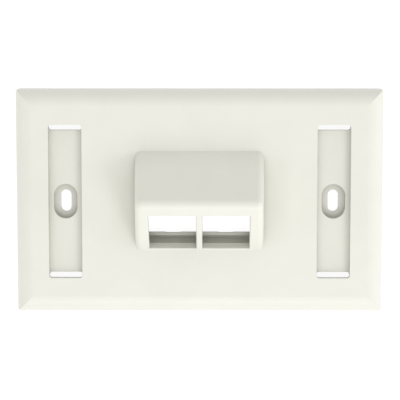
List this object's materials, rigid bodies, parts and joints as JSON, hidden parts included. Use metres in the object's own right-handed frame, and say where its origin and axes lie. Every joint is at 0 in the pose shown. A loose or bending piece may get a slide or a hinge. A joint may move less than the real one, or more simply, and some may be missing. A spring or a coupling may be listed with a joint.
{
  "type": "keystone faceplate",
  "caption": "One-gang wall plate with an angled hood for keystone jacks, label recesses beside it and slotted counterbored screw holes.",
  "frame": {"origin": "middle of the plate on the wall plane, where the rim's back rests", "axes": "+X along the plate's long side, +Y up the wall with the jack ports facing down, +Z out of the wall"},
  "size_m": [0.1142, 0.0698, 0.0206],
  "materials": {
    "body_plastic": "satin"
  },
  "bodies": {
    "root": {"faceplate": "body_plastic"}
  },
  "joints": []
}
